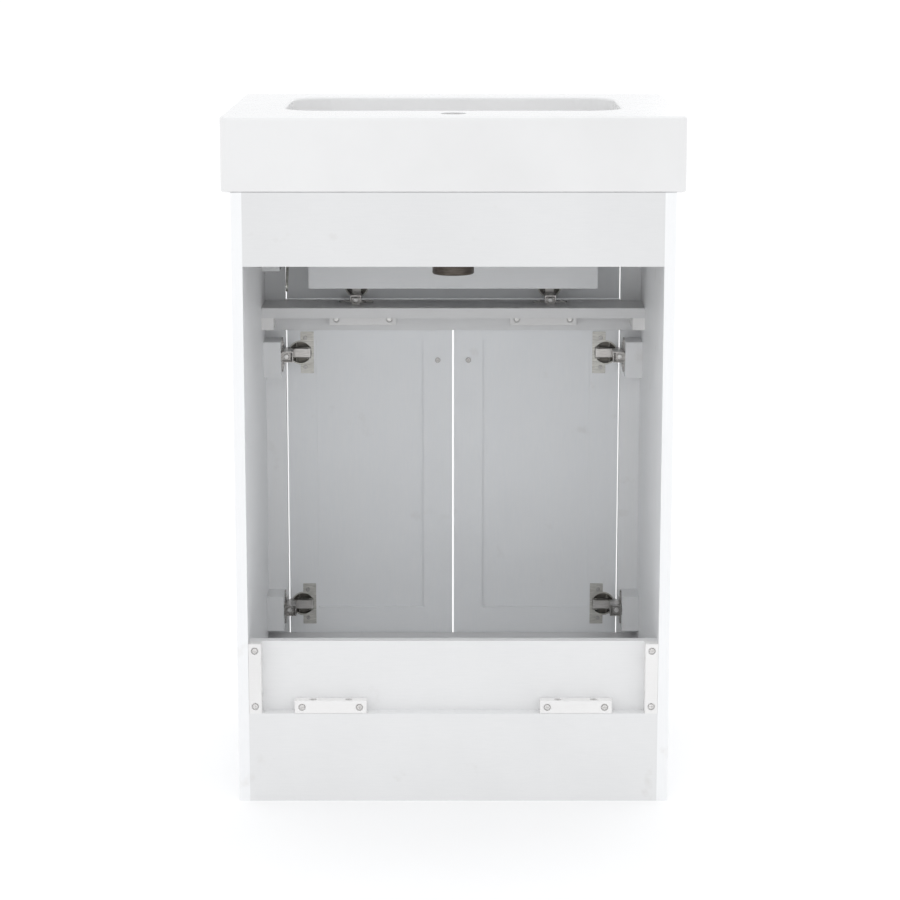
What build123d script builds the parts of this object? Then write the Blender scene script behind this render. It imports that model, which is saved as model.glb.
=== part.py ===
"""Floor-standing bathroom vanity cabinet with two doors, a tilting tray flap and a ceramic basin.

Millimetres. X runs across the cabinet, +Y towards the wall, +Z up. The origin is on the floor,
at the middle of the whole object's width and depth. Door fronts lie in one plane, and depths
behind that plane are given with behind(). The right-hand side is the +X side.
"""

import os
from math import atan2, cos, degrees, radians, sin, tan

from build123d import *

# Carcass
CABINET_WIDTH = 600
CABINET_DEPTH = 455
CABINET_HEIGHT = 854
BOARD = 15
STILE_THICK = 18
STILE_COVER = 30.5
TOP_RAIL_HEIGHT = 100
FRONT_TOP_DEPTH = 40
FLOOR_TOP = 127
BACK_RAIL_HEIGHT = 100
MIDDLE_TOP = 647
MIDDLE_DEPTH = 104
MIDDLE_RAIL_HEIGHT = 28
TOE_RECESS = 45
GAP = 2.5

# Corner cleats and their screws
CLEAT = 18
CLEAT_LENGTH = 100
WIDE_PITCH = 80
NARROW_PITCH = 50
FLOOR_CLEAT_X = 171
MIDDLE_CLEAT_X = 136
SCREW_HEAD_RADIUS = 3.8
SCREW_HEAD = 2.4
SCREW_SHANK_RADIUS = 2
SCREW_SEAT_RADIUS = 5.2
SCREW_SEAT = 3

# Doors and flap
DOOR_THICK = 18
DOOR_BOTTOM = 111.5
FRAME_MEMBER = 44
BOTTOM_RAIL = 56
PANEL_THICK = 8
PANEL_SET_BACK = 6
TONGUE = 6
KNOB_LENGTH = 26
KNOB_RADIUS = 15
DOOR_KNOB_Z = 555
KNOB_SCREW_RADIUS = 2
KNOB_SCREW_DEPTH = 9

# Concealed hinges, in their own frame: X from the door's edge outwards, Y behind the door fronts
HINGE_HEIGHTS = (173, 567)
FLAP_HINGE_X = 146
CUP_RADIUS = 17.5
CUP_WALL = 1
CUP_DEPTH = 11.5
CUP_NOTCH = (7.5, 17.4, 9.2)
CUP_CENTRE = -20
FLANGE = 0.8
FLANGE_WIDTH = 20
FLANGE_LENGTH = 64
CUP_SCREW_PITCH = 45
CUP_SCREW_X = -27.5
ARM_PIN = (-2.4, 21.7)
CUP_PIN = (-13.9, 14.7)
KNEE_PIN = (-33.7, 21.9)
PIN_RADIUS = 1.5
PIN_PLAY = 0.2
LINK_HALF_WIDTH = 2.2
ARM_LINK_HALF = 6.4
CUP_LINK_INNER = 6.9
CUP_LINK_THICK = 1.5
ARM_INNER = 6.8
ARM_WALL = 1.4
ARM_CREST = -11
ARM_END = 64
BOSS_SET_BACK = 6
PLATE_THICK = 2
PLATE_LENGTH = 52
PLATE_CENTRE = 37
PLATE_SCREW_PITCH = 32

# Hinge blocks on the side panels and the block that carries the flap's stay
BLOCK_WIDTH = 25.7
BLOCK_DEPTH = 50
BLOCK_HEIGHT = 54
BLOCK_DROP = 4
STAY_BLOCK_BOTTOM = 697.5
STAY_BLOCK_HEIGHT = 50

# Flap tray and stay
FLAP_SWING = 40
FLAP_AXIS_DEPTH = 0.8
FLAP_AXIS_DROP = 1
TRAY_HALF_WIDTH = 215
TRAY_DEPTH = 75
TRAY_WALL = 12
TRAY_BOTTOM = 675
TRAY_FLOOR = 695
TRAY_TOP = 760
TRAY_FLOOR_THICK = 10
STAY_RADIUS = 75
STAY_HALF_WIDTH = 9
STAY_THICK = 3
STAY_FOOT_TOP = 746
STAY_X = 247
STAY_PIN_ANGLE = 62
STAY_PIN_RADIUS = 2.5
STAY_SLOT_PLAY = 0.5

# Basin and waste
BASIN_WIDTH = 627
BASIN_DEPTH = 470
BASIN_HEIGHT = 102
BASIN_DECK = 18
BASIN_FRONT_WALL = 25
BASIN_ROUND = 5
TAP_DECK = 110
TAP_HOLE_RADIUS = 17.5
BOWL_WIDTH = 470
BOWL_LENGTH = 285
BOWL_DEPTH = 135
BOWL_WALL = 12
BOWL_CORNER = 55
BOWL_TAPER = 5
BOWL_FLOOR_ROUND = 28
BOWL_LIP = 4
WASTE_HOLE_RADIUS = 22.5
WASTE_RADIUS = 21
WASTE_BORE_RADIUS = 16.5
WASTE_OUTLET_RADIUS = 17
WASTE_OUTLET_LENGTH = 40
WASTE_BOTTOM = 714
WASTE_FLANGE_RADIUS = 32
WASTE_NUT_RADIUS = 30
WASTE_NUT_HEIGHT = 30
PLUG_RADIUS = 26
PLUG_STEM_RADIUS = 4
PLUG_LIFT_GUIDE = 770
OVERFLOW_RADIUS = 13
OVERFLOW_DROP = 41

Y_BACK = (CABINET_DEPTH + KNOB_LENGTH) / 2
Y_FRONT = Y_BACK - CABINET_DEPTH
INSIDE = CABINET_WIDTH / 2 - BOARD
OPENING = INSIDE - STILE_COVER
DOOR_EDGE = OPENING - GAP
DOOR_TOP = MIDDLE_TOP - BOARD - GAP
FLAP_BOTTOM = MIDDLE_TOP + GAP
FLAP_TOP = CABINET_HEIGHT - BOARD - GAP
BASIN_TOP = CABINET_HEIGHT + BASIN_HEIGHT
SIDES = (1, -1)


def behind(depth):
    """World Y of a depth behind the plane of the door fronts."""
    return Y_FRONT + depth


def block(x, y, z):
    """A square-edged block between pairs of X, Y and Z limits."""
    size = (x[1] - x[0], y[1] - y[0], z[1] - z[0])
    return Pos(x[0], y[0], z[0]) * Box(*size, align=(Align.MIN, Align.MIN, Align.MIN))


def between(x, d, z):
    """A block symmetrical about X = 0, with depths behind the door fronts."""
    return block((-x, x), (behind(d[0]), behind(d[1])), z)


def group(shapes):
    """Separate solids that share one node."""
    return Compound([solid for shape in shapes for solid in shape.solids()])


def cross_recess(size):
    """The cutter for a cross recess, its mouth at Z = 0."""
    return Box(size, size / 5, size / 2) + Box(size / 5, size, size / 2)


def screw(length, head_radius=SCREW_HEAD_RADIUS, head=SCREW_HEAD, shank=SCREW_SHANK_RADIUS):
    """A pan-head screw pointing down -Z, with its head's underside at Z = 0."""
    cap = Pos(0, 0, head / 2) * Cylinder(head_radius, head)
    cap = fillet(cap.edges().group_by(Axis.Z)[-1], head * 0.4)
    body = cap + Pos(0, 0, -length / 2) * Cylinder(shank, length)
    return body - Pos(0, 0, head) * cross_recess(head_radius * 1.1)


def cleat(length, wide_pitch, narrow_pitch):
    """A square batten along X. It is screwed through its +Y face to whatever is at Y = 0 and
    through its +Z face to whatever is at Z = 0. Returns the batten and its four screws."""
    batten = Pos(0, CLEAT / 2, CLEAT / 2) * Box(length, CLEAT, CLEAT)
    batten = chamfer(batten.edges().filter_by(Axis.X), 0.8)
    reach = CLEAT - SCREW_SEAT - 1
    seat = Pos(0, 0, SCREW_SEAT / 2) * Cylinder(SCREW_SEAT_RADIUS, SCREW_SEAT)
    drill = seat + Pos(0, 0, -reach / 2) * Cylinder(SCREW_SHANK_RADIUS, reach)
    from_rear = Plane(origin=(0, CLEAT - SCREW_SEAT, CLEAT / 2), x_dir=(1, 0, 0), z_dir=(0, 1, 0))
    from_top = Plane(origin=(0, CLEAT / 2, CLEAT - SCREW_SEAT), x_dir=(1, 0, 0), z_dir=(0, 0, 1))
    screws = []
    for face, pitch in ((from_rear, wide_pitch), (from_top, narrow_pitch)):
        for side in SIDES:
            place = face.location * Pos(side * pitch / 2, 0, 0)
            batten -= place * drill
            screws.append(place * screw(reach))
    return batten, screws


# --- Carcass boards -------------------------------------------------------------------------


def carcass_boards():
    """The boards, by node name."""
    across = INSIDE
    opening = OPENING
    rail_bottom = MIDDLE_TOP - BOARD - MIDDLE_RAIL_HEIGHT
    clear = STILE_THICK + 1.5
    parts = {}
    for name, side in (("right", 1), ("left", -1)):
        panel_x = sorted((side * INSIDE, side * CABINET_WIDTH / 2))
        stile_x = sorted((side * OPENING, side * CABINET_WIDTH / 2))
        depths = (behind(STILE_THICK), Y_BACK)
        parts[f"side_panel_{name}"] = block(panel_x, depths, (0, CABINET_HEIGHT))
        stile = block(stile_x, (Y_FRONT, behind(STILE_THICK)), (0, CABINET_HEIGHT))
        parts[f"front_stile_{name}"] = stile
    back = CABINET_DEPTH
    top = CABINET_HEIGHT
    parts["rear_top_rail"] = between(across, (back - BOARD, back), (top - TOP_RAIL_HEIGHT, top))
    front_edge = between(opening, (0, STILE_THICK), (top - BOARD, top))
    parts["front_top_board"] = front_edge + between(
        across, (STILE_THICK, FRONT_TOP_DEPTH), (top - BOARD, top)
    )
    middle = (MIDDLE_TOP - BOARD, MIDDLE_TOP)
    parts["middle_board"] = between(opening, (0, STILE_THICK), middle) + between(
        across, (STILE_THICK, MIDDLE_DEPTH), middle
    )
    parts["middle_rail"] = between(across, (clear, clear + BOARD), (rail_bottom, middle[0]))
    parts["floor_board"] = between(across, (clear, back), (FLOOR_TOP - BOARD, FLOOR_TOP))
    parts["rear_plinth"] = between(across, (back - BOARD, back), (0, FLOOR_TOP - BOARD))
    toe = (TOE_RECESS, TOE_RECESS + BOARD)
    parts["front_plinth"] = between(across, toe, (0, FLOOR_TOP - BOARD))
    rail_rear = back - CLEAT
    rail_z = (FLOOR_TOP, FLOOR_TOP + BACK_RAIL_HEIGHT)
    parts["back_rail"] = between(across, (rail_rear - BOARD, rail_rear), rail_z)
    return parts


def cleats():
    """Battens at the back, battens under the middle board, and all their screws."""
    up, down = (0, 0, 1), (0, 0, -1)
    rail_rear = Y_BACK - CLEAT
    rear_faces = []
    for side in SIDES:
        floor = Plane(origin=(side * FLOOR_CLEAT_X, rail_rear, FLOOR_TOP), x_dir=(1, 0, 0), z_dir=up)
        middle_height = FLOOR_TOP + BACK_RAIL_HEIGHT / 2
        corner = (side * INSIDE, rail_rear, middle_height)
        upright = Plane(origin=corner, x_dir=(0, 0, side), z_dir=(-side, 0, 0))
        rear_faces += [floor, upright]
    under = MIDDLE_TOP - BOARD
    rail_back = STILE_THICK + 1.5 + BOARD
    side_length = MIDDLE_DEPTH - rail_back
    standard, short = [], []
    for side in SIDES:
        origin = (side * MIDDLE_CLEAT_X, behind(rail_back), under)
        standard.append(Plane(origin=origin, x_dir=(-1, 0, 0), z_dir=down))
        origin = (side * INSIDE, behind(rail_back + side_length / 2), under)
        short.append(Plane(origin=origin, x_dir=(0, -side, 0), z_dir=down))
    batten, screws = cleat(CLEAT_LENGTH, WIDE_PITCH, NARROW_PITCH)
    short_batten, short_screws = cleat(side_length, side_length - 24, side_length - 46)
    rear = [plane.location * batten for plane in rear_faces]
    middle = [plane.location * batten for plane in standard]
    middle += [plane.location * short_batten for plane in short]
    all_screws = [p.location * s for p in rear_faces + standard for s in screws]
    all_screws += [p.location * s for p in short for s in short_screws]
    return group(rear), group(middle), group(all_screws)


# --- Concealed hinges -----------------------------------------------------------------------


def bar(start, end, half_width, low, high):
    """A round-ended bar from start to end in the hinge's XY plane, between two Z levels."""
    run = Vector(*end) - Vector(*start)
    angle = degrees(atan2(run.Y, run.X))
    middle = (Vector(*start) + Vector(*end)) / 2
    shape = Rot(0, 0, angle) * SlotCenterToCenter(run.length, 2 * half_width)
    return Pos(middle.X, middle.Y, low) * extrude(shape, high - low)


def pin(place, radius, half_length):
    """A round pin along the hinge's axis."""
    return Pos(place[0], place[1], 0) * Cylinder(radius, 2 * half_length)


def hinge_cup():
    """The cup with its flange plate and the pin that its link turns on."""
    inside = CUP_RADIUS - CUP_WALL
    floor_y = DOOR_THICK - CUP_DEPTH
    turn = Rot(-90, 0, 0)

    def disc(radius, low, high):
        return Pos(CUP_CENTRE, (low + high) / 2, 0) * turn * Cylinder(radius, high - low)

    cup = disc(CUP_RADIUS, floor_y, DOOR_THICK)
    rim = disc(CUP_RADIUS + 1, DOOR_THICK, DOOR_THICK + FLANGE)
    outline = turn * RectangleRounded(FLANGE_WIDTH, FLANGE_LENGTH, 1)
    flange = extrude(outline, FLANGE, dir=(0, 1, 0))
    flange = Pos(CUP_CENTRE - FLANGE_WIDTH / 2, DOOR_THICK, 0) * flange
    cup = cup + rim + flange - disc(inside, floor_y + CUP_WALL, DOOR_THICK + 5)
    for side in SIDES:
        hole = Rot(-90, 0, 0) * Cylinder(SCREW_SHANK_RADIUS, 4 * FLANGE)
        cup -= Pos(CUP_SCREW_X, DOOR_THICK, side * CUP_SCREW_PITCH / 2) * hole
    notch_width, notch_floor, notch_half = CUP_NOTCH
    cup -= block((-notch_width, 0), (notch_floor, DOOR_THICK + 5), (-notch_half, notch_half))
    reach = (inside**2 - (CUP_PIN[0] - CUP_CENTRE) ** 2) ** 0.5
    return cup + pin(CUP_PIN, PIN_RADIUS, reach + CUP_WALL / 4)


def cup_bore():
    """The cutter for the cup's bore and its two pilot holes in the door."""
    turn = Rot(-90, 0, 0)
    middle = DOOR_THICK - CUP_DEPTH / 2
    bore = Pos(CUP_CENTRE, middle, 0) * turn * Cylinder(CUP_RADIUS, CUP_DEPTH)
    for side in SIDES:
        pilot = turn * Cylinder(SCREW_SHANK_RADIUS, 20)
        bore += Pos(CUP_SCREW_X, DOOR_THICK, side * CUP_SCREW_PITCH / 2) * pilot
    return bore


def cup_screws():
    """The two screws that hold the flange to the door."""
    small = Rot(-90, 0, 0) * screw(10, head_radius=3.2, head=1.4)
    place = (CUP_SCREW_X, DOOR_THICK + FLANGE)
    return [Pos(*place, side * CUP_SCREW_PITCH / 2) * small for side in SIDES]


def arm_link():
    """The solid link that turns on the arm's pin and carries the knee pin."""
    link = bar(ARM_PIN, KNEE_PIN, LINK_HALF_WIDTH, -ARM_LINK_HALF, ARM_LINK_HALF)
    return link - pin(ARM_PIN, PIN_RADIUS + PIN_PLAY, 20)


def cup_link():
    """The two cheeks that turn on the cup's pin and run to the knee."""
    cheeks = []
    for low in (CUP_LINK_INNER, -CUP_LINK_INNER - CUP_LINK_THICK):
        cheek = bar(CUP_PIN, KNEE_PIN, LINK_HALF_WIDTH, low, low + CUP_LINK_THICK)
        cheeks.append(cheek - pin(CUP_PIN, PIN_RADIUS + PIN_PLAY, 20))
    return cheeks


def hinge_arm(mount):
    """The channel-shaped arm over its mounting plate. mount is the mounting face's X."""
    foot = mount - PLATE_THICK - 0.3
    outer = ARM_INNER + ARM_WALL
    nose = ARM_PIN[1]
    outline = Polyline(
        (foot, 30), (foot, ARM_END), (ARM_CREST, ARM_END), (ARM_CREST, 34), (-5, 27),
        (ARM_PIN[0] - 2.5, nose), (ARM_PIN[0] + 2.5, nose), close=True,
    )
    profile = make_face(outline) + Pos(*ARM_PIN) * Circle(2.5)
    channel = Pos(0, 0, -outer) * extrude(profile, 2 * outer)
    inner = Polyline(
        (foot + 9, 10), (foot + 9, ARM_END + 9), (ARM_CREST + 1.6, ARM_END + 9),
        (ARM_CREST + 1.6, 33), (-7, 27), (-12, 10), close=True,
    )
    channel -= Pos(0, 0, -ARM_INNER) * extrude(make_face(inner), 2 * ARM_INNER)
    return channel + pin(ARM_PIN, PIN_RADIUS, outer)


def mounting_plate(mount):
    """The winged plate on the mounting face, with the boss that the arm clips over."""
    top = mount - PLATE_THICK
    wings = Pos(mount - PLATE_THICK / 2, PLATE_CENTRE, 0) * Box(PLATE_THICK, 14, PLATE_LENGTH)
    wings = fillet(wings.edges().filter_by(Axis.X), 4)
    half = ARM_INNER - 0.4
    base = block((mount - PLATE_THICK, mount), (PLATE_CENTRE - 11, ARM_END), (-half, half))
    boss = block((ARM_CREST + 4, top), (PLATE_CENTRE - 1, ARM_END - BOSS_SET_BACK), (-half, half))
    plate = wings + base + boss
    for side in SIDES:
        hole = Rot(0, 90, 0) * Cylinder(SCREW_SHANK_RADIUS, 20)
        plate -= Pos(mount, PLATE_CENTRE, side * PLATE_SCREW_PITCH / 2) * hole
    return plate


def mounting_screws(mount):
    """Two plate screws and the adjusting screw in the rear end of the boss."""
    small = Rot(0, -90, 0) * screw(12, head_radius=3.4, head=1.6)
    place = (mount - PLATE_THICK, PLATE_CENTRE)
    screws = [Pos(*place, side * PLATE_SCREW_PITCH / 2) * small for side in SIDES]
    height = (ARM_CREST + 4 + mount - PLATE_THICK) / 2
    head = Pos(height, ARM_END - BOSS_SET_BACK, 0) * Rot(-90, 0, 0)
    screws.append(head * screw(6, 3.6, 2.2, 1.6))
    return screws


def adjusting_bore(mount):
    """The hole that the adjusting screw sits in."""
    height = (ARM_CREST + 4 + mount - PLATE_THICK) / 2
    return Pos(height, ARM_END - BOSS_SET_BACK - 3, 0) * Rot(-90, 0, 0) * Cylinder(1.6, 6)


def door_hinge_places():
    """Hinge frames on the +X door. The -X door's are their mirror images."""
    return [Pos(DOOR_EDGE, Y_FRONT, z) for z in HINGE_HEIGHTS]


def flap_hinge_places():
    """Hinge frames along the flap's lower edge."""
    return [Pos(side * FLAP_HINGE_X, Y_FRONT, FLAP_BOTTOM) * Rot(0, 90, 0) for side in SIDES]


def at_every_hinge(door_shapes, flap_shapes):
    """Shapes from the two kinds of hinge, placed at all six hinges."""
    right = [place * shape for place in door_hinge_places() for shape in door_shapes]
    left = [mirror(shape, about=Plane.YZ) for shape in right]
    flap = [place * shape for place in flap_hinge_places() for shape in flap_shapes]
    return group(right + left + flap)


def fixed_hinge_parts():
    """Arms, mounting plates and their screws, by node name."""
    door_mount = INSIDE - BLOCK_WIDTH - DOOR_EDGE
    flap_mount = FLAP_BOTTOM - MIDDLE_TOP
    plates = [mounting_plate(m) - adjusting_bore(m) for m in (door_mount, flap_mount)]
    return {
        "hinge_arms": at_every_hinge([hinge_arm(door_mount)], [hinge_arm(flap_mount)]),
        "hinge_plates": at_every_hinge([plates[0]], [plates[1]]),
        "hinge_screws": at_every_hinge(mounting_screws(door_mount), mounting_screws(flap_mount)),
    }


def screw_holes():
    """The pilot holes for every mounting-plate screw, in the blocks and the middle board."""
    door_mount = INSIDE - BLOCK_WIDTH - DOOR_EDGE
    flap_mount = FLAP_BOTTOM - MIDDLE_TOP

    def pair(mount):
        drill = Rot(0, 90, 0) * Cylinder(SCREW_SHANK_RADIUS, 10)
        return [Pos(mount + 5, PLATE_CENTRE, side * PLATE_SCREW_PITCH / 2) * drill for side in SIDES]

    return at_every_hinge(pair(door_mount), pair(flap_mount))


def hinge_blocks():
    """The four blocks that bring the door hinges clear of the stiles."""
    x = (INSIDE - BLOCK_WIDTH, INSIDE)
    y = (behind(STILE_THICK), behind(STILE_THICK + BLOCK_DEPTH))
    blocks = []
    for height in HINGE_HEIGHTS:
        low = height - BLOCK_DROP - BLOCK_HEIGHT / 2
        right = block(x, y, (low, low + BLOCK_HEIGHT))
        blocks += [right, mirror(right, about=Plane.YZ)]
    return group([b - screw_holes() for b in blocks])


# --- Doors and flap -------------------------------------------------------------------------


def framed_leaf(x, z, bottom_rail):
    """The members of a framed leaf between X and Z limits: two stiles, two rails, a panel."""
    member = FRAME_MEMBER
    depth = (Y_FRONT, behind(DOOR_THICK))
    inner_x = (x[0] + member, x[1] - member)
    inner_z = (z[0] + bottom_rail, z[1] - member)
    panel_y = (behind(PANEL_SET_BACK), behind(PANEL_SET_BACK + PANEL_THICK))
    panel_x = (inner_x[0] - TONGUE, inner_x[1] + TONGUE)
    panel = block(panel_x, panel_y, (inner_z[0] - TONGUE, inner_z[1] + TONGUE))
    stiles = [block((x[0], inner_x[0]), depth, z), block((inner_x[1], x[1]), depth, z)]
    top = block(inner_x, depth, (inner_z[1], z[1]))
    bottom = block(inner_x, depth, (z[0], inner_z[0]))
    return [s - panel for s in stiles], top - panel, bottom - panel, panel


def knob():
    """A turned knob standing on the XZ plane and pointing along -Y."""
    head_length = 13
    neck_length = KNOB_LENGTH - head_length
    head = Pos(0, 0, neck_length + head_length / 2) * Cylinder(KNOB_RADIUS, head_length)
    head = fillet(head.edges().group_by(Axis.Z)[-1], 5)
    head = fillet(head.edges().group_by(Axis.Z)[0], 6)
    neck = Pos(0, 0, neck_length / 2) * Cone(7.5, 6.5, neck_length)
    foot = Pos(0, 0, 1) * Cylinder(9, 2)
    depth = KNOB_SCREW_DEPTH
    hole = Pos(0, 0, depth / 2) * Cylinder(KNOB_SCREW_RADIUS, depth)
    return Rot(90, 0, 0) * (head + neck + foot - hole)


def knob_screw(thickness):
    """The screw that passes through a leaf of this thickness into the knob at Y = 0."""
    length = thickness + KNOB_SCREW_DEPTH
    return Pos(0, thickness, 0) * Rot(-90, 0, 0) * screw(length, 4, 1.8, KNOB_SCREW_RADIUS)


def knob_hole(place, thickness):
    """The hole through a leaf for its knob's screw."""
    return place * Pos(0, thickness / 2, 0) * Rot(90, 0, 0) * Cylinder(KNOB_SCREW_RADIUS, thickness)


def right_door():
    """The +X door's parts, by the ends of their node names."""
    x = (GAP / 2, DOOR_EDGE)
    stiles, top, bottom, panel = framed_leaf(x, (DOOR_BOTTOM, DOOR_TOP), BOTTOM_RAIL)
    knob_place = Pos(x[0] + FRAME_MEMBER / 2, Y_FRONT, DOOR_KNOB_Z)
    inner, outer = stiles
    inner -= knob_hole(knob_place, DOOR_THICK)
    for place in door_hinge_places():
        outer -= place * cup_bore()
    screws = [place * s for place in door_hinge_places() for s in cup_screws()]
    screws.append(knob_place * knob_screw(DOOR_THICK))
    places = door_hinge_places()
    return {
        "stiles": group([inner, outer]),
        "top_rail": top,
        "bottom_rail": bottom,
        "panel": panel,
        "knob": knob_place * knob(),
        "screws": group(screws),
        "hinge_cups": group([place * hinge_cup() for place in places]),
        "arm_links": group([place * arm_link() for place in places]),
        "cup_links": group([place * cheek for place in places for cheek in cup_link()]),
    }


def doors():
    """Both doors, the -X one as the mirror image of the +X one."""
    parts = {}
    for name, shape in right_door().items():
        parts[f"door_right_{name}"] = shape
        parts[f"door_left_{name}"] = group([mirror(s, about=Plane.YZ) for s in shape.solids()])
    return parts


def flap():
    """The flap's frame, knob and hinges."""
    x = (-DOOR_EDGE, DOOR_EDGE)
    stiles, top, bottom, panel = framed_leaf(x, (FLAP_BOTTOM, FLAP_TOP), FRAME_MEMBER)
    places = flap_hinge_places()
    for place in places:
        bottom -= place * cup_bore()
    knob_place = Pos(0, behind(PANEL_SET_BACK), (FLAP_BOTTOM + FLAP_TOP) / 2)
    panel -= knob_hole(knob_place, PANEL_THICK)
    screws = [place * s for place in places for s in cup_screws()]
    screws.append(knob_place * knob_screw(PANEL_THICK))
    return {
        "flap_stiles": group(stiles),
        "flap_top_rail": top,
        "flap_bottom_rail": bottom,
        "flap_panel": panel,
        "flap_knob": knob_place * knob(),
        "flap_screws": group(screws),
        "flap_hinge_cups": group([place * hinge_cup() for place in places]),
        "flap_arm_links": group([place * arm_link() for place in places]),
        "flap_cup_links": group([place * cheek for place in places for cheek in cup_link()]),
    }


def tray():
    """The shallow tray on the flap's back. Its rear wall hangs below its floor."""
    rear = DOOR_THICK + TRAY_DEPTH
    wall = TRAY_WALL
    half = TRAY_HALF_WIDTH
    ends = []
    for side in SIDES:
        x = sorted((side * half, side * (half - wall)))
        ends.append(block(x, (behind(DOOR_THICK), behind(rear - wall)), (TRAY_FLOOR, TRAY_TOP)))
    floor_z = (TRAY_FLOOR, TRAY_FLOOR + TRAY_FLOOR_THICK)
    return {
        "tray_rear": between(half, (rear - wall, rear), (TRAY_BOTTOM, TRAY_TOP)),
        "tray_ends": group(ends),
        "tray_floor": between(half - wall, (DOOR_THICK, rear - wall), floor_z),
    }


def stay_parts():
    """The slotted quadrant on the flap, the pin it slides over, and the pin's block."""
    centre = (FLAP_AXIS_DEPTH, FLAP_BOTTOM - FLAP_AXIS_DROP)
    first = STAY_PIN_ANGLE - FLAP_SWING

    def on_arc(radius, angle):
        return (
            centre[0] + radius * cos(radians(angle)),
            centre[1] + radius * sin(radians(angle)),
        )

    def band(half_width, low, high):
        inner, outer = STAY_RADIUS - half_width, STAY_RADIUS + half_width
        middle = (low + high) / 2
        outline = [
            ThreePointArc(on_arc(outer, low), on_arc(outer, middle), on_arc(outer, high)),
            Line(on_arc(outer, high), on_arc(inner, high)),
            ThreePointArc(on_arc(inner, high), on_arc(inner, middle), on_arc(inner, low)),
            Line(on_arc(inner, low), on_arc(outer, low)),
        ]
        face = make_face(outline)
        for angle in (low, high):
            face += Pos(*on_arc(STAY_RADIUS, angle)) * Circle(half_width)
        return face

    foot_z = (on_arc(STAY_RADIUS, STAY_PIN_ANGLE)[1] - 6, STAY_FOOT_TOP)
    web = Pos(DOOR_THICK + 8, sum(foot_z) / 2) * Rectangle(16, foot_z[1] - foot_z[0])
    slot = band(STAY_PIN_RADIUS + STAY_SLOT_PLAY, first, STAY_PIN_ANGLE)
    profile = band(STAY_HALF_WIDTH, first, STAY_PIN_ANGLE) + web - slot
    sideways = Plane(origin=(STAY_X, Y_FRONT, 0), x_dir=(0, 1, 0), z_dir=(1, 0, 0))
    quadrant = sideways.location * extrude(profile, STAY_THICK)
    foot_x = (STAY_X - 12, STAY_X + STAY_THICK)
    quadrant += block(foot_x, (behind(DOOR_THICK), behind(DOOR_THICK + 2)), foot_z)
    depth, height = on_arc(STAY_RADIUS, STAY_PIN_ANGLE)
    block_x = (INSIDE - BLOCK_WIDTH, INSIDE)
    block_y = (behind(STILE_THICK), behind(STILE_THICK + BLOCK_DEPTH))
    stay_block = block(block_x, block_y, (STAY_BLOCK_BOTTOM, STAY_BLOCK_BOTTOM + STAY_BLOCK_HEIGHT))
    head = STAY_X - 0.6
    bolt_end = INSIDE - 5
    turn = Rot(0, 90, 0)
    shaft = Pos((head + bolt_end) / 2, behind(depth), height)
    shaft *= turn * Cylinder(STAY_PIN_RADIUS, bolt_end - head)
    cap = Pos(head - 1.5, behind(depth), height) * turn * Cylinder(2.4 * STAY_PIN_RADIUS, 3)
    collar_x = (STAY_X + STAY_THICK + 0.6, block_x[0])
    collar = Pos(sum(collar_x) / 2, behind(depth), height)
    collar *= turn * Cylinder(2 * STAY_PIN_RADIUS, collar_x[1] - collar_x[0])
    return {
        "flap_stay_quadrant": quadrant,
        "stay_pin": shaft + cap + collar,
        "stay_block": stay_block - shaft,
    }


# --- Basin and waste ------------------------------------------------------------------------


def bowl_centre():
    """World Y of the middle of the bowl and the waste."""
    return Y_BACK - TAP_DECK - BOWL_LENGTH / 2


def bowl_form(grow, depth):
    """The bowl's tapered form, made larger all round by grow, from the basin's top down."""
    outline = RectangleRounded(BOWL_WIDTH + 2 * grow, BOWL_LENGTH + 2 * grow, BOWL_CORNER + grow)
    form = extrude(outline, depth, dir=(0, 0, -1), taper=BOWL_TAPER)
    form = fillet(form.edges().group_by(Axis.Z)[0], BOWL_FLOOR_ROUND + grow)
    return Pos(0, bowl_centre(), BASIN_TOP) * form


def basin():
    """The basin: a hollow slab with a bowl, a tap hole, a waste hole and an overflow."""
    half = BASIN_WIDTH / 2
    slab = block((-half, half), (Y_BACK - BASIN_DEPTH, Y_BACK), (CABINET_HEIGHT, BASIN_TOP))
    slab = fillet(slab.edges().filter_by(Axis.Z), 2 * BASIN_ROUND)
    slab = fillet(slab.edges().group_by(Axis.Z)[-1], BASIN_ROUND)
    slab = chamfer(slab.edges().group_by(Axis.Z)[0], 2)
    front = Y_BACK - BASIN_DEPTH + BASIN_FRONT_WALL
    hollow_z = (CABINET_HEIGHT - 1, BASIN_TOP - BASIN_DECK)
    slab -= block((-INSIDE, INSIDE), (front, Y_BACK - BOARD), hollow_z)
    shape = slab + bowl_form(BOWL_WALL, BOWL_DEPTH + BOWL_WALL)
    shape -= bowl_form(0, BOWL_DEPTH)
    mouth = []
    for edge in shape.edges().group_by(Axis.Z)[-1]:
        middle = edge.center() - Vector(0, bowl_centre(), 0)
        if abs(middle.X) <= BOWL_WIDTH / 2 and abs(middle.Y) <= BOWL_LENGTH / 2:
            mouth.append(edge)
    shape = fillet(mouth, BOWL_LIP)
    tap = Pos(0, Y_BACK - TAP_DECK / 2, BASIN_TOP) * Cylinder(TAP_HOLE_RADIUS, 3 * BASIN_DECK)
    waste = Pos(0, bowl_centre(), BASIN_TOP - BOWL_DEPTH) * Cylinder(WASTE_HOLE_RADIUS, 60)
    return shape - tap - waste - overflow_at(Cylinder(OVERFLOW_RADIUS, 5), 2.5)


def basin_parts():
    """The basin as three touching pieces: its deck, its skirt and its bowl."""
    whole = basin()
    reach = BASIN_WIDTH
    underside = BASIN_TOP - BASIN_DECK
    above = block((-reach, reach), (-reach, reach), (underside, BASIN_TOP + 1))
    lower = (whole - above).solids()
    bowl, skirt = sorted(lower, key=lambda solid: solid.bounding_box().size.X)
    return {"basin_deck": whole & above, "basin_skirt": skirt, "basin_bowl": bowl}


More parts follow.
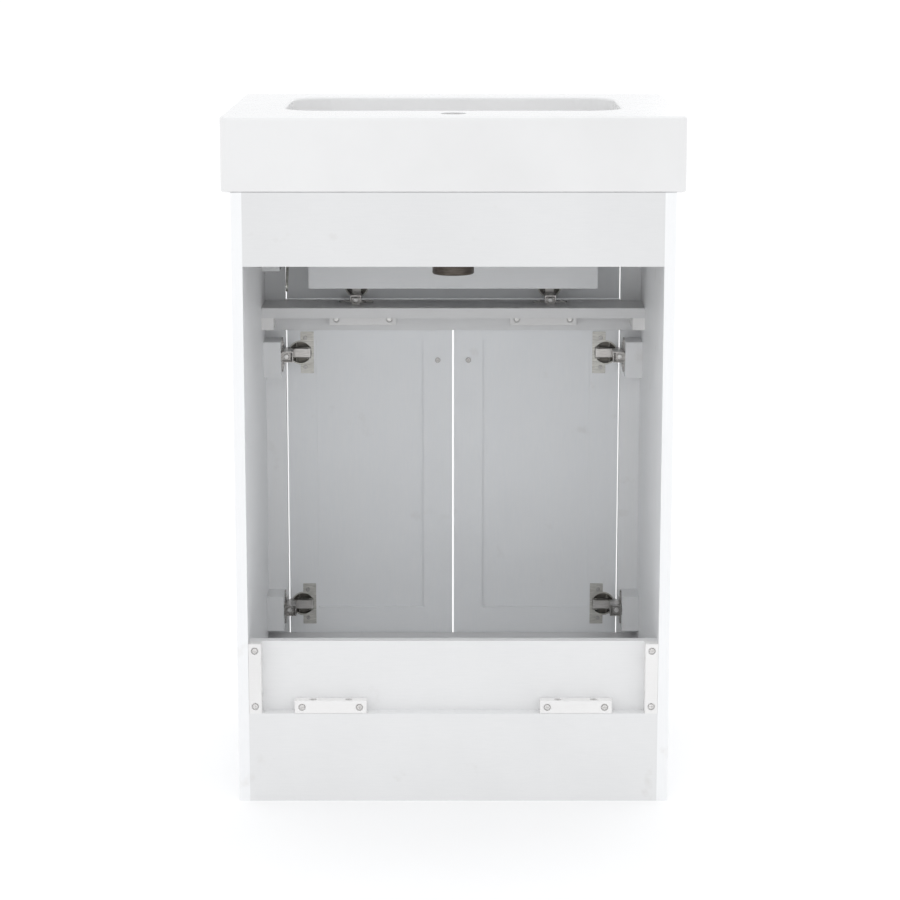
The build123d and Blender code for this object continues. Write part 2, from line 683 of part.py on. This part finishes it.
def overflow_at(shape, depth):
    """Places a shape whose axis is Z in the bowl's front wall, sunk by depth."""
    wall = Y_BACK - TAP_DECK - BOWL_LENGTH + OVERFLOW_DROP * tan(radians(BOWL_TAPER))
    return Pos(0, wall - depth, BASIN_TOP - OVERFLOW_DROP) * Rot(90, 0, 0) * shape


def overflow_ring():
    """The ring in the overflow's recess."""
    ring = Cylinder(OVERFLOW_RADIUS, 5) - Cylinder(OVERFLOW_RADIUS * 0.65, 5)
    return overflow_at(ring, 2.5)


def ring_of(outer, inner, low, high):
    """A ring round the waste's axis."""
    middle = Pos(0, bowl_centre(), (low + high) / 2)
    return middle * (Cylinder(outer, high - low) - Cylinder(inner, high - low))


def waste_parts():
    """The waste's body, washer, back nut and plug."""
    bowl_floor = BASIN_TOP - BOWL_DEPTH
    under = bowl_floor - BOWL_WALL
    body = ring_of(WASTE_RADIUS, WASTE_BORE_RADIUS, WASTE_BOTTOM, bowl_floor)
    body += ring_of(WASTE_FLANGE_RADIUS, WASTE_BORE_RADIUS, bowl_floor, bowl_floor + 2.5)
    guide = Pos(0, bowl_centre(), PLUG_LIFT_GUIDE)
    spider = Box(2 * WASTE_BORE_RADIUS + 1, 3, 8) + Box(3, 2 * WASTE_BORE_RADIUS + 1, 8)
    hub = Cylinder(PLUG_STEM_RADIUS + 3, 8)
    body += guide * (spider + hub)
    body -= guide * Cylinder(PLUG_STEM_RADIUS + 0.05, 8)
    outlet_middle = WASTE_BOTTOM + WASTE_OUTLET_LENGTH / 2
    body -= Pos(0, bowl_centre(), outlet_middle) * Cylinder(WASTE_OUTLET_RADIUS, WASTE_OUTLET_LENGTH)
    nut_bottom = WASTE_BOTTOM - 2
    nut = ring_of(WASTE_NUT_RADIUS, WASTE_RADIUS, nut_bottom, nut_bottom + WASTE_NUT_HEIGHT)
    rims = [edge for edge in nut.edges().filter_by(GeomType.CIRCLE) if edge.radius > WASTE_RADIUS + 1]
    seat = bowl_floor + 2.5
    dome = Pos(0, bowl_centre(), seat + 1.5) * Cylinder(PLUG_RADIUS, 3)
    dome = fillet(dome.edges().group_by(Axis.Z)[-1], 1.8)
    stem_bottom = PLUG_LIFT_GUIDE - 14
    stem_middle = Pos(0, bowl_centre(), (seat + 1 + stem_bottom) / 2)
    stem = stem_middle * Cylinder(PLUG_STEM_RADIUS, seat + 1 - stem_bottom)
    return {
        "waste_body": body,
        "waste_washer": ring_of(WASTE_NUT_RADIUS, WASTE_RADIUS, under - 5, under),
        "waste_nut": fillet(rims, 2),
        "waste_plug": dome + stem,
    }


def main():
    parts = carcass_boards()
    parts["back_cleats"], parts["middle_cleats"], parts["cleat_screws"] = cleats()
    parts["middle_board"] -= screw_holes()
    parts["hinge_blocks"] = hinge_blocks()
    parts.update(fixed_hinge_parts())
    parts.update(doors())
    parts.update(flap())
    parts.update(tray())
    parts.update(stay_parts())
    parts.update(basin_parts())
    parts["overflow_ring"] = overflow_ring()
    parts.update(waste_parts())
    os.makedirs("parts", exist_ok=True)
    for name, shape in parts.items():
        export_step(shape, f"parts/{name}.step")
    print(len(parts), "nodes")


main()
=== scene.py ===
"""Bathroom vanity cabinet: finishes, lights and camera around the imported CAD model."""

from math import radians

import bpy
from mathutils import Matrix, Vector


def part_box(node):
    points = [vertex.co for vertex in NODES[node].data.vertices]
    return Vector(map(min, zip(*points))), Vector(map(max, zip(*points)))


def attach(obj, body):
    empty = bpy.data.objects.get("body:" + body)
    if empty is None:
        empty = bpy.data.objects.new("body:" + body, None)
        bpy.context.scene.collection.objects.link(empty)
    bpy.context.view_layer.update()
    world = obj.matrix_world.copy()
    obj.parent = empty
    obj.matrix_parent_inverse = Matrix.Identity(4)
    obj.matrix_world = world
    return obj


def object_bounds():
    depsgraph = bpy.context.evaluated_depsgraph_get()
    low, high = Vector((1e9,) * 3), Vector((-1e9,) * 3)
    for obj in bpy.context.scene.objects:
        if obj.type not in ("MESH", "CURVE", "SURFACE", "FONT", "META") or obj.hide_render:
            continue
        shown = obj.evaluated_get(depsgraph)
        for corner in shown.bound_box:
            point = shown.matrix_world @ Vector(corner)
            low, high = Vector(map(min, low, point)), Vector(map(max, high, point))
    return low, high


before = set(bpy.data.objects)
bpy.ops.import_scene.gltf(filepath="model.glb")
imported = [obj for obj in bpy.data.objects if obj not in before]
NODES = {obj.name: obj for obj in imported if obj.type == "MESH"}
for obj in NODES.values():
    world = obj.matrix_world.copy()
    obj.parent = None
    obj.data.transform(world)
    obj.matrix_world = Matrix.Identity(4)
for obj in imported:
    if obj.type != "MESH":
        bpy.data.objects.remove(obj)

CAD_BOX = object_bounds()

# The camera stands behind the cabinet's open back and looks slightly down into it.
# Lengths are in metres and angles in degrees, apart from the lens and sensor in millimetres.
CAMERA_BEHIND = 3.61
CAMERA_ASIDE = 0.0046
CAMERA_HEIGHT = 1.216
CAMERA_PITCH = 11.19
CAMERA_LENS = 107.6
SENSOR_WIDTH = 36
FARTHEST_SEEN = 200

FLOOR_SIZE = 160
WORLD_COLOUR = (0.985, 0.99, 1, 1)
WORLD_STRENGTH = 0.97
OVERHEAD_STRENGTH = 0.55
OVERHEAD_ANGLE = 60
LIT_POINT = (0, 0, 0.5)

BOARD_EDGE = 0.0009
BOARD_EDGE_ANGLE = 50
# A hinge cup is bright down to this far below its leaf's inner face, then darkens over the fade:
# painted shade inside the cup.
CUP_LIP = 0.002
CUP_SHADE_FADE = 0.001
RIVET_RADIUS = 0.0019
RIVET_HEIGHT = 0.0007
# The share of its height by which a rivet's centre stands off its place.
RIVET_RISE = 0.15
# Half the width of a cup link at its knee.
KNEE_HALF_WIDTH = 0.0022

UPRIGHTS = ("side_panel_right", "side_panel_left", "front_stile_right", "front_stile_left")
HIGH_BOARDS = ("rear_top_rail", "front_top_board", "middle_board", "middle_rail")
LOW_BOARDS = ("floor_board", "rear_plinth", "front_plinth", "back_rail")
BLOCKS = ("hinge_blocks", "stay_block")
CLEATS = ("back_cleats", "middle_cleats")
FRONTS = tuple(
    f"{leaf}_{part}"
    for leaf in ("door_right", "door_left", "flap")
    for part in ("stiles", "top_rail", "bottom_rail", "panel")
)
TRAY = ("tray_rear", "tray_floor", "tray_ends")
BASIN = ("basin_deck", "basin_skirt", "basin_bowl")
KNOBS = ("door_right_knob", "door_left_knob", "flap_knob")
HINGE_CUPS = ("door_right_hinge_cups", "door_left_hinge_cups", "flap_hinge_cups")
PRESSED_STEEL = ("hinge_plates", "hinge_arms")
STAY = ("flap_stay_quadrant", "stay_pin")
ARM_LINKS = ("door_right_arm_links", "door_left_arm_links", "flap_arm_links")
CUP_LINKS = ("door_right_cup_links", "door_left_cup_links", "flap_cup_links")
CHROMED = ("overflow_ring", "waste_plug")
CARCASS_SCREWS = ("cleat_screws", "hinge_screws")
LEAF_SCREWS = ("door_right_screws", "door_left_screws", "flap_screws")

# Noise scales along X, Y and Z. A pattern is drawn out along an axis with a small scale.
UPRIGHT_GRAIN = (9, 9, 0.6)
LEVEL_GRAIN = (0.6, 9, 9)
ROLLED = (1, 1, 12)
LATHE_CUT = (1, 1, 10)
KNOB_LINES = (8, 1, 8)
SCREW_SPECKLE = (6, 6, 6)
CHROME_SPECKLE = (4, 4, 4)

# The middle of a noise's range, where nearly all of its values lie.
NOISE_LOW = 0.3
NOISE_HIGH = 0.7

# The Z of a face's normal where glaze starts to give way to bare clay, and where it is all clay.
GLAZE_ENDS = -0.75
ALL_CLAY = -0.9


# --- Materials ------------------------------------------------------------------------------


class Shader:
    """A material's node tree, with short calls for the nodes it is built from."""

    def __init__(self, name):
        self.material = bpy.data.materials.new(name)
        self.material.use_nodes = True
        self.tree = self.material.node_tree
        self.surface = self.tree.nodes["Principled BSDF"]
        self.place = self.node("ShaderNodeTexCoord").outputs["Object"]

    def node(self, kind, **settings):
        made = self.tree.nodes.new(kind)
        for key, value in settings.items():
            setattr(made, key, value)
        return made

    def join(self, source, target):
        self.tree.links.new(source, target)

    def stretched(self, scale):
        """Object coordinates scaled by different amounts along X, Y and Z."""
        mapping = self.node("ShaderNodeMapping")
        mapping.inputs["Scale"].default_value = scale
        self.join(self.place, mapping.inputs["Vector"])
        return mapping.outputs["Vector"]

    def noise(self, scale, detail=4.0, place=None):
        made = self.node("ShaderNodeTexNoise")
        made.inputs["Scale"].default_value = scale
        made.inputs["Detail"].default_value = detail
        self.join(place or self.place, made.inputs["Vector"])
        return made.outputs["Fac"]

    def spots(self, scale):
        """Distance to the nearest of many scattered points."""
        made = self.node("ShaderNodeTexVoronoi")
        made.inputs["Scale"].default_value = scale
        self.join(self.place, made.inputs["Vector"])
        return made.outputs["Distance"]

    def ramp(self, value, stops):
        """A colour ramp. stops are (position, (red, green, blue)) pairs."""
        made = self.node("ShaderNodeValToRGB")
        elements = made.color_ramp.elements
        while len(elements) < len(stops):
            elements.new(0.5)
        for element, (position, colour) in zip(elements, stops):
            element.position = position
            element.color = (*colour, 1)
        self.join(value, made.inputs["Fac"])
        return made.outputs["Color"]

    def spread(self, value, low, high):
        """Maps a noise's middle range onto low to high."""
        made = self.node("ShaderNodeMapRange")
        made.inputs["From Min"].default_value = NOISE_LOW
        made.inputs["From Max"].default_value = NOISE_HIGH
        made.inputs["To Min"].default_value = low
        made.inputs["To Max"].default_value = high
        self.join(value, made.inputs["Value"])
        return made.outputs["Result"]

    def tones(self, value, dark, light):
        """A colour from dark to light over a noise's middle range."""
        return self.ramp(value, [(NOISE_LOW, dark), (NOISE_HIGH, light)])

    def mix(self, factor, first, second, blend="MIX"):
        made = self.node("ShaderNodeMix", data_type="RGBA", blend_type=blend)
        if isinstance(factor, float):
            made.inputs["Factor"].default_value = factor
        else:
            self.join(factor, made.inputs["Factor"])
        self.join(first, made.inputs["A"])
        self.join(second, made.inputs["B"])
        return made.outputs["Result"]

    def bump(self, layers):
        """Stacks bumps. layers are (height, strength, distance in metres)."""
        normal = None
        for height, strength, distance in layers:
            made = self.node("ShaderNodeBump")
            made.inputs["Strength"].default_value = strength
            made.inputs["Distance"].default_value = distance
            self.join(height, made.inputs["Height"])
            if normal:
                self.join(normal, made.inputs["Normal"])
            normal = made.outputs["Normal"]
        self.join(normal, self.surface.inputs["Normal"])

    def colour(self, output):
        self.join(output, self.surface.inputs["Base Color"])

    def roughness(self, output):
        self.join(output, self.surface.inputs["Roughness"])

    def constants(self, **values):
        for key, value in values.items():
            self.surface.inputs[key.replace("_", " ")].default_value = value


def grey(value, warm=0.0):
    """A near-neutral colour. warm is positive towards yellow and negative towards blue."""
    return (value * (1 + warm), value, value * (1 - warm))


def painted_board(name, light, dark, warm, roughness, grain):
    """White paint on board: a faint cloudy tone, fibres, roller stipple and a few rubbed marks."""
    shader = Shader(name)
    cloud = shader.tones(shader.noise(5.0, 5.0), grey(dark, warm), grey(light, warm))
    fibres = shader.noise(60.0, 6.0, shader.stretched(grain))
    fibre_tone = shader.ramp(fibres, [(0.35, grey(0.97, warm)), (0.62, grey(1.0))])
    toned = shader.mix(0.45, cloud, fibre_tone, "MULTIPLY")
    marks = shader.ramp(shader.noise(23.0, 9.0), [(0.24, grey(0.86, 0.02)), (0.33, grey(1.0))])
    shader.colour(shader.mix(0.5, toned, marks, "MULTIPLY"))
    shader.roughness(shader.spread(shader.noise(38.0, 6.0), roughness - 0.07, roughness + 0.08))
    shader.bump([(shader.noise(850.0, 3.0), 0.22, 0.0003), (fibres, 0.08, 0.0004)])
    shader.constants(Specular_IOR_Level=0.4)
    return shader.material


def glazed_ceramic():
    """White glaze with a slow ripple. Faces that look down are bare, rough clay."""
    shader = Shader("glazed_ceramic")
    glaze = shader.tones(shader.noise(7.0, 3.0), grey(0.77, 0.001), grey(0.81))
    clay = shader.tones(shader.noise(160.0, 6.0), grey(0.7, 0.05), grey(0.8, 0.03))
    facing = shader.node("ShaderNodeSeparateXYZ")
    shader.join(shader.node("ShaderNodeNewGeometry").outputs["Normal"], facing.inputs["Vector"])
    under = shader.node("ShaderNodeMapRange")
    under.inputs["From Min"].default_value = GLAZE_ENDS
    under.inputs["From Max"].default_value = ALL_CLAY
    shader.join(facing.outputs["Z"], under.inputs["Value"])
    bare = under.outputs["Result"]
    shader.colour(shader.mix(bare, glaze, clay))
    gloss = shader.node("ShaderNodeMix", data_type="FLOAT")
    shader.join(bare, gloss.inputs["Factor"])
    shader.join(shader.spread(shader.noise(30.0), 0.1, 0.16), gloss.inputs["A"])
    gloss.inputs["B"].default_value = 0.8
    shader.roughness(gloss.outputs["Result"])
    shader.bump([(shader.noise(26.0, 2.0), 0.12, 0.0012), (shader.noise(420.0, 2.0), 0.05, 0.0002)])
    shader.constants(IOR=1.5, Coat_Weight=0.35, Coat_Roughness=0.06)
    return shader.material


def metal(name, dark, light, roughness, brushed, metallic=1.0, stain=0.35, painted_shade_below=None):
    """Metal with fine lines, faint stains and pitting. brushed is the lines' noise scale.

    The last argument gives the Y below which the metal is darkened by painted shade, as inside a
    hinge's cup.
    """
    shader = Shader(name)
    lines = shader.noise(90.0, 8.0, shader.stretched(brushed))
    tone = shader.ramp(lines, [(0.32, dark), (0.68, light)])
    stains = shader.ramp(shader.noise(70.0, 8.0), [(0.3, grey(0.72, 0.03)), (0.55, grey(1.0))])
    colour = shader.mix(stain, tone, stains, "MULTIPLY")
    if painted_shade_below is not None:
        # Painted shade: below the given Y the colour darkens, for the shadow inside a hinge's cup.
        place = shader.node("ShaderNodeSeparateXYZ")
        shader.join(shader.place, place.inputs["Vector"])
        depth = shader.node("ShaderNodeMapRange")
        depth.inputs["From Min"].default_value = painted_shade_below
        depth.inputs["From Max"].default_value = painted_shade_below + CUP_SHADE_FADE
        shader.join(place.outputs["Y"], depth.inputs["Value"])
        shade = [(0.0, grey(0.42, 0.04)), (1.0, grey(1.0))]
        painted_cup_shade = shader.ramp(depth.outputs["Result"], shade)
        colour = shader.mix(1.0, colour, painted_cup_shade, "MULTIPLY")
    shader.colour(colour)
    shader.roughness(shader.spread(shader.noise(140.0, 6.0), roughness - 0.08, roughness + 0.1))
    shader.bump([(lines, 0.12, 0.0002), (shader.spots(900.0), 0.06, 0.0001)])
    shader.constants(Metallic=metallic)
    return shader.material


def rubber():
    """Black washer rubber with a dusty bloom."""
    shader = Shader("washer_rubber")
    bloom = [(0.35, grey(0.02)), (0.7, grey(0.06, 0.05))]
    shader.colour(shader.ramp(shader.noise(220.0, 8.0), bloom))
    shader.roughness(shader.spread(shader.noise(90.0), 0.6, 0.8))
    shader.bump([(shader.noise(1200.0), 0.3, 0.0002)])
    return shader.material


def pale_floor():
    """A plain pale studio floor with a barely visible tone."""
    shader = Shader("pale_floor")
    shader.colour(shader.tones(shader.noise(1.4, 5.0), grey(0.955), grey(0.97)))
    shader.roughness(shader.spread(shader.noise(5.0), 0.85, 0.95))
    shader.bump([(shader.noise(90.0), 0.05, 0.0004)])
    shader.constants(Specular_IOR_Level=0.1)
    return shader.material


def finish_nodes(nodes, material):
    """Puts one material on every face of these CAD nodes."""
    for node in nodes:
        mesh = NODES[node].data
        mesh.materials.clear()
        mesh.materials.append(material)


def ease_edges(nodes, width):
    """Breaks the sharp corners of boards, so that they catch the light."""
    for node in nodes:
        bevel = NODES[node].modifiers.new("eased_edges", "BEVEL")
        bevel.width = width
        bevel.segments = 2
        bevel.limit_method = "ANGLE"
        bevel.angle_limit = radians(BOARD_EDGE_ANGLE)


def finish_boards():
    """Paints the boards. Each paint has its lightest and darkest tone, tint and roughness. The
    boards share one white paint; the tones differ between the groups as painted light and shade.
    """
    finish_nodes(UPRIGHTS, painted_board("side_paint", 0.92, 0.9, -0.007, 0.42, UPRIGHT_GRAIN))
    # Painted shade: the rails, top boards and tray are given darker tones than the uprights and
    # fronts.
    finish_nodes(HIGH_BOARDS, painted_board("rail_paint", 0.77, 0.735, -0.003, 0.46, LEVEL_GRAIN))
    finish_nodes(LOW_BOARDS, painted_board("low_paint", 0.81, 0.775, -0.003, 0.46, LEVEL_GRAIN))
    finish_nodes(BLOCKS, painted_board("block_paint", 0.87, 0.84, -0.007, 0.46, UPRIGHT_GRAIN))
    finish_nodes(CLEATS, painted_board("cleat_paint", 0.87, 0.8, 0.006, 0.5, LEVEL_GRAIN))
    standing = [node for node in FRONTS if "rail" not in node]
    lying = [node for node in FRONTS if "rail" in node]
    finish_nodes(standing, painted_board("front_paint", 0.91, 0.88, -0.013, 0.38, UPRIGHT_GRAIN))
    finish_nodes(lying, painted_board("front_rail_paint", 0.91, 0.88, -0.013, 0.38, LEVEL_GRAIN))
    finish_nodes(TRAY, painted_board("tray_paint", 0.79, 0.76, -0.013, 0.35, LEVEL_GRAIN))
    ease_edges(UPRIGHTS + HIGH_BOARDS + LOW_BOARDS + BLOCKS + CLEATS + FRONTS + TRAY, BOARD_EDGE)


def finish_hinges():
    """Nickel cups and stay, pressed arms and plates darkened with painted shade, and steel links,
    the cup links darker with painted shade.
    """
    nickel = ((0.47, 0.464, 0.435), (0.7, 0.69, 0.65))
    finish_nodes(STAY, metal("nickel_plate", *nickel, 0.42, ROLLED))
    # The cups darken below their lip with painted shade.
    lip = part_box("door_right_stiles")[1][1] - CUP_LIP
    cups = metal("cup_nickel", *nickel, 0.42, ROLLED, metallic=0.6, painted_shade_below=lip)
    finish_nodes(HINGE_CUPS, cups)
    # Painted shade: darker nickel on the arms and plates, for the shade between the arm cheeks.
    shaded_nickel = (grey(0.27, 0.03), grey(0.52, 0.03))
    finish_nodes(PRESSED_STEEL, metal("arm_nickel", *shaded_nickel, 0.3, ROLLED))
    arm_steel = (grey(0.5, 0.03), grey(0.68, 0.03))
    finish_nodes(ARM_LINKS, metal("arm_link_steel", *arm_steel, 0.4, ROLLED))
    # Painted shade: the cup links are darker than the arm links, for the shade inside the cups.
    shaded_cup_steel = (grey(0.24, 0.03), grey(0.42, 0.03))
    finish_nodes(CUP_LINKS, metal("cup_link_steel", *shaded_cup_steel, 0.4, ROLLED))


def finish_screws():
    """Bright screws in the cabinet, darker ones in the leaves."""
    zinc = (grey(0.62, 0.02), grey(0.82, 0.01))
    finish_nodes(CARCASS_SCREWS, metal("bright_zinc", *zinc, 0.34, SCREW_SPECKLE, metallic=0.85))
    darker_zinc = (grey(0.36, 0.02), grey(0.55, 0.02))
    finish_nodes(LEAF_SCREWS, metal("darker_zinc", *darker_zinc, 0.34, SCREW_SPECKLE, metallic=0.85))


def finish_fittings():
    """The knobs, and the basin's overflow ring and waste."""
    finish_nodes(KNOBS, metal("knob_nickel", grey(0.5, 0.01), grey(0.68, 0.01), 0.26, KNOB_LINES))
    chrome = metal("chrome", grey(0.76), grey(0.84), 0.12, CHROME_SPECKLE, stain=0.15)
    finish_nodes(CHROMED, chrome)
    bronze = ((0.09, 0.075, 0.062), (0.15, 0.128, 0.11))
    finish_nodes(("waste_nut",), metal("bronze_nut", *bronze, 0.42, LATHE_CUT, metallic=0.55))
    # The waste body is given a darker bronze than the nut.
    darker_bronze = ((0.06, 0.052, 0.045), (0.11, 0.097, 0.085))
    finish_nodes(("waste_body",), metal("bronze_body", *darker_bronze, 0.4, LATHE_CUT, metallic=0.6))
    finish_nodes(("waste_washer",), rubber())


# --- Hinge rivets ---------------------------------------------------------------------------


def patch_boxes(node):
    """The low and high corner of each patch of joined faces in a CAD node's mesh.

    The mesh isn't joined across sharp edges, so one solid gives several patches.
    """
    mesh = NODES[node].data
    parent = list(range(len(mesh.vertices)))

    def root(index):
        """The vertex that stands for the whole patch of this one."""
        while parent[index] != index:
            parent[index] = parent[parent[index]]
            index = parent[index]
        return index

    for edge in mesh.edges:
        first, second = (root(index) for index in edge.vertices)
        parent[first] = second
    groups = {}
    for vertex in mesh.vertices:
        groups.setdefault(root(vertex.index), []).append(vertex.co)
    boxes = []
    for points in groups.values():
        low = Vector([min(p[axis] for p in points) for axis in range(3)])
        high = Vector([max(p[axis] for p in points) for axis in range(3)])
        boxes.append((low, high))
    return boxes


def rivet(name, place, axis, outward, body, material):
    """A domed rivet head that rides with a link."""
    bpy.ops.mesh.primitive_uv_sphere_add(segments=24, ring_count=12, radius=1)
    head = bpy.context.object
    head.name = name
    scale = [RIVET_RADIUS] * 3
    scale[axis] = RIVET_HEIGHT
    head.scale = scale
    centre = Vector(place)
    centre[axis] += outward * RIVET_HEIGHT * RIVET_RISE
    head.location = centre
    bpy.ops.object.transform_apply(location=False, rotation=False, scale=True)
    for polygon in head.data.polygons:
        polygon.use_smooth = True
    head.data.materials.append(material)
    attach(head, body)


def knee_end(leaf, low, high):
    """The knee end's middle of a patch, from its box. It is the knee only on a link's side face."""
    end = (low + high) / 2
    end.y = high.y - KNEE_HALF_WIDTH
    if leaf == "flap":
        end.z = high.z - KNEE_HALF_WIDTH
    elif leaf == "door_right":
        end.x = low.x + KNEE_HALF_WIDTH
    else:
        end.x = high.x - KNEE_HALF_WIDTH
    return end


def add_rivets(material):
    """A rivet head for each patch of the cup links, so a link has its knee rivet and some others."""
    for leaf in ("door_right", "door_left", "flap"):
        node = f"{leaf}_cup_links"
        axis = 0 if leaf == "flap" else 2
        patches = sorted(patch_boxes(node), key=lambda box: box[0][axis])
        for number, (low, high) in enumerate(patches):
            outward = -1 if number % 2 == 0 else 1
            place = knee_end(leaf, low, high)
            place[axis] = low[axis] if outward < 0 else high[axis]
            rivet(f"{leaf}_knee_rivet_{number}", place, axis, outward, node, material)


# --- Stage ----------------------------------------------------------------------------------


def add_floor():
    """A floor wide enough to meet the white background far behind the cabinet."""
    bpy.ops.mesh.primitive_plane_add(size=FLOOR_SIZE)
    floor = bpy.context.object
    floor.name = "studio_floor"
    floor.data.materials.append(pale_floor())


def add_light(name, place, size, power):
    """A round studio lamp that faces the middle of the cabinet."""
    data = bpy.data.lights.new(name, "AREA")
    data.shape = "DISK"
    data.size = size
    data.energy = power
    lamp = bpy.data.objects.new(name, data)
    lamp.location = place
    aim = Vector(LIT_POINT) - Vector(place)
    lamp.rotation_euler = aim.to_track_quat("-Z", "Y").to_euler()
    bpy.context.scene.collection.objects.link(lamp)


def add_lights():
    """A white surround and a wide sun overhead, with one lamp behind and one in front."""
    world = bpy.data.worlds.new("studio")
    world.use_nodes = True
    background = world.node_tree.nodes["Background"]
    background.inputs["Color"].default_value = WORLD_COLOUR
    background.inputs["Strength"].default_value = WORLD_STRENGTH
    bpy.context.scene.world = world
    add_light("key_behind", (0.5, 4.7, 2.5), size=2.2, power=6)
    add_light("front_fill", (-1.6, -3.8, 1.8), size=2.4, power=4)
    data = bpy.data.lights.new("overhead", "SUN")
    data.angle = radians(OVERHEAD_ANGLE)
    data.energy = OVERHEAD_STRENGTH
    bpy.context.scene.collection.objects.link(bpy.data.objects.new("overhead", data))


def add_camera():
    """A long lens behind the cabinet, close to its middle plane."""
    data = bpy.data.cameras.new("camera")
    data.lens = CAMERA_LENS
    data.sensor_width = SENSOR_WIDTH
    data.clip_end = FARTHEST_SEEN
    camera = bpy.data.objects.new("camera", data)
    rear_face = CAD_BOX[1][1]
    camera.location = (CAMERA_ASIDE, rear_face + CAMERA_BEHIND, CAMERA_HEIGHT)
    camera.rotation_euler = (radians(90 - CAMERA_PITCH), 0, radians(180))
    bpy.context.scene.collection.objects.link(camera)
    bpy.context.scene.camera = camera


finish_boards()
finish_nodes(BASIN, glazed_ceramic())
finish_hinges()
finish_screws()
finish_fittings()
add_rivets(bpy.data.materials["nickel_plate"])
add_floor()
add_lights()
add_camera()
bpy.context.scene.view_settings.view_transform = "Standard"
